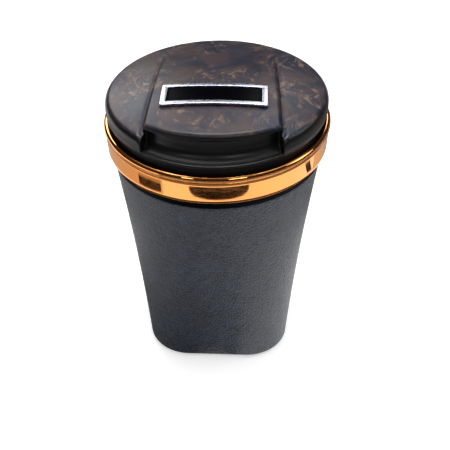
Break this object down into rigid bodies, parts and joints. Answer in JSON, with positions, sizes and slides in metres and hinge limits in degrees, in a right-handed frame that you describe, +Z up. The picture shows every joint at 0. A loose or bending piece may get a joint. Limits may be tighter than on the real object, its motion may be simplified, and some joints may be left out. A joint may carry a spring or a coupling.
{
  "type": "car ashtray",
  "caption": "Lidded cup-holder ashtray: leather-wrapped cup, square at the foot and round at the mouth, with a plated collar and a hinged lid.",
  "frame": {"origin": "centre of the foot pad's underside, on the axis of the round mouth", "axes": "+Z up, -Y towards the finger scoop, +Y towards the hinge, +X to the right seen from the front"},
  "size_m": [0.086, 0.09, 0.1209],
  "materials": {
    "black_plastic": "moulded black plastic, fine satin texture",
    "leather": "dark grey leather with a fine pebble grain",
    "rubber": "matt black foot pad",
    "liner_metal": "drawn sheet metal, satin",
    "seal_rubber": "soft black seal",
    "copper_plate": "copper-coloured mirror plating",
    "steel": "bright steel",
    "burl_lid": "satin lid with a dark burl film",
    "badge_metal": "bright satin frame",
    "badge_field": "plain gloss black field",
    "board": "circuit board",
    "lamp": "clear lamp",
    "lens": "clear window",
    "cell_metal": "plated cell can",
    "contact_metal": "spring strip",
    "white_plastic": "white moulded plastic"
  },
  "bodies": {
    "cup": {"outer_cup": "black_plastic", "leather_sleeve": "leather", "base_pad": "rubber", "inner_liner": "liner_metal", "neck_seal": "seal_rubber"},
    "head": {"collar_core": "black_plastic", "collar_ring": "copper_plate", "cigarette_rest": "liner_metal", "hinge_pin": "steel", "hinge_washers": "steel"},
    "lid": {"lid_cover": "burl_lid", "lid_inner": "black_plastic", "lid_gasket": "seal_rubber", "lid_screws": "steel", "badge_frame": "badge_metal", "badge_inlay": "badge_field", "led_board": "board", "led_lamp": "lamp", "led_lens": "lens", "coin_cell": "cell_metal", "cell_contact": "contact_metal", "battery_door": "black_plastic", "battery_door_screw": "steel", "switch_leaf": "contact_metal"},
    "plunger": {"switch_plunger": "white_plastic"}
  },
  "joints": [
    {"name": "head_twist", "type": "hinge", "parent": "cup", "child": "head", "pos_m": [0, 0, 0], "axis": [0, 0, 1], "range_deg": [0, 25]},
    {"name": "lid_hinge", "type": "hinge", "parent": "head", "child": "lid", "pos_m": [0, 0.044, 0.1078], "axis": [-1, 0, 0], "range_deg": [0, 100]},
    {"name": "switch_press", "type": "slide", "parent": "lid", "child": "plunger", "axis": [0, 0, -1], "range_m": [0, 0.0012]}
  ],
  "couplings": [
    {"joint": "switch_press", "follows": "lid_hinge", "m_per_rad": 0.00068}
  ]
}
